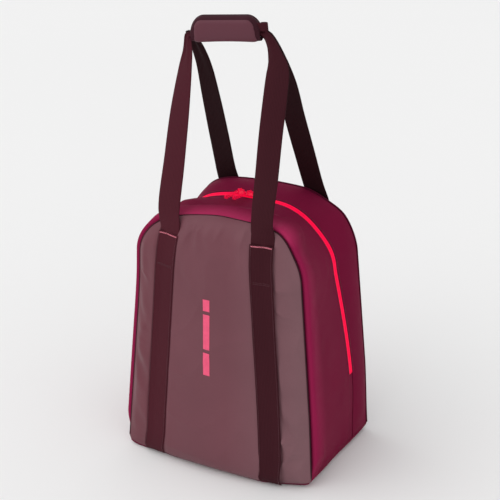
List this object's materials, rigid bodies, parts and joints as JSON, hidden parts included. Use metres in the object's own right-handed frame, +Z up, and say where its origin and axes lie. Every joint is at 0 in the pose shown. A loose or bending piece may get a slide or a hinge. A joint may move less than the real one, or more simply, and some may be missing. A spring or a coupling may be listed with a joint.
{
  "type": "ski boot bag",
  "caption": "Domed soft bag for a pair of ski boots, with a wrap-over zip, a rear section that folds back, and two webbing handles joined in a padded grip.",
  "frame": {"origin": "middle of the base, on the floor, halfway between the front and back seams", "axes": "+Z up, the front panel faces -Y, the bag's right side seen from the front is +X"},
  "size_m": [0.336, 0.2465, 0.7298],
  "materials": {
    "tarpaulin": "satin coated",
    "polyester": "matt weave",
    "webbing": "matt ribbed weave",
    "binding": "matt",
    "lining": "matt",
    "foam": "open cell",
    "board": "matt",
    "zip_tape": "fine weave",
    "zip_coil": "satin",
    "slider": "satin",
    "pull_cord": "braided",
    "pull_rubber": "satin moulded",
    "thread": "satin",
    "hook_loop": "matt pile"
  },
  "bodies": {
    "root": {"base_panel": "polyester", "base_stiffener_board": "board", "base_lining": "lining", "front_panel": "tarpaulin", "front_foam_pad": "foam", "front_lining": "lining", "back_panel_lower": "polyester", "back_foam_pad_lower": "foam", "back_lining_lower": "lining", "front_gusset": "polyester", "front_gusset_lining": "lining", "rear_gusset_lower_left": "polyester", "zip_end_tab_left": "polyester", "rear_gusset_lower_right": "polyester", "zip_end_tab_right": "polyester", "front_piping": "binding", "zip_tape_front": "zip_tape", "zip_coil_front": "zip_coil", "front_strap_left": "webbing", "front_bar_tack_left": "thread", "rear_strap_lower_left": "webbing", "front_strap_right": "webbing", "front_bar_tack_right": "thread", "rear_strap_lower_right": "webbing"},
    "rear_flap": {"back_panel_upper": "polyester", "back_foam_pad_upper": "foam", "back_lining_upper": "lining", "rear_gusset_upper": "polyester", "rear_gusset_lining": "lining", "rear_piping": "binding", "zip_tape_rear": "zip_tape", "zip_coil_rear": "zip_coil", "rear_strap_upper_left": "webbing", "rear_bar_tack_left": "thread", "rear_strap_upper_right": "webbing", "rear_bar_tack_right": "thread"},
    "slider_left": {"slider_left": "slider"},
    "slider_right": {"slider_right": "slider"},
    "pull_left": {"pull_cord_left": "pull_cord", "pull_end_left": "pull_rubber"},
    "pull_right": {"pull_cord_right": "pull_cord", "pull_end_right": "pull_rubber"},
    "front_handle": {"front_handle_webbing": "webbing", "grip_cover_front": "binding", "grip_patch_front": "tarpaulin", "grip_pad_front": "foam", "grip_hook_strip_upper": "hook_loop", "grip_hook_strip_lower": "hook_loop"},
    "rear_handle": {"rear_handle_webbing": "webbing", "grip_cover_rear": "binding", "grip_patch_rear": "tarpaulin", "grip_pad_rear": "foam", "grip_loop_strip_upper": "hook_loop", "grip_loop_strip_lower": "hook_loop"}
  },
  "joints": [
    {"name": "flap_open", "type": "hinge", "parent": "root", "child": "rear_flap", "pos_m": [0, 0.1116, 0.138], "axis": [-1, 0, 0], "range_deg": [0, 80]},
    {"name": "front_handle_swing", "type": "hinge", "parent": "root", "child": "front_handle", "pos_m": [0, -0.1178, 0.414], "axis": [1, 0, 0], "range_deg": [0, 170]},
    {"name": "rear_handle_swing", "type": "hinge", "parent": "rear_flap", "child": "rear_handle", "pos_m": [0, 0.1002, 0.386], "axis": [-1, 0, 0], "range_deg": [0, 165]},
    {"name": "slider_right_travel", "type": "slide", "parent": "root", "child": "slider_right", "axis": [1, 0, 0], "range_m": [0, 0.044]},
    {"name": "slider_left_travel", "type": "hinge", "parent": "root", "child": "slider_left", "pos_m": [-0.03029, 0.03346, 0.316], "axis": [0, -0.9989, -0.046], "range_deg": [0, 80]},
    {"name": "pull_right_swing", "type": "hinge", "parent": "slider_right", "child": "pull_right", "pos_m": [-0.014, 0.02886, 0.4232], "axis": [-1, 0, 0], "range_deg": [0, 140]},
    {"name": "pull_left_swing", "type": "hinge", "parent": "slider_left", "child": "pull_left", "pos_m": [-0.03029, 0.02886, 0.4232], "axis": [-1, 0, 0], "range_deg": [0, 140]}
  ]
}
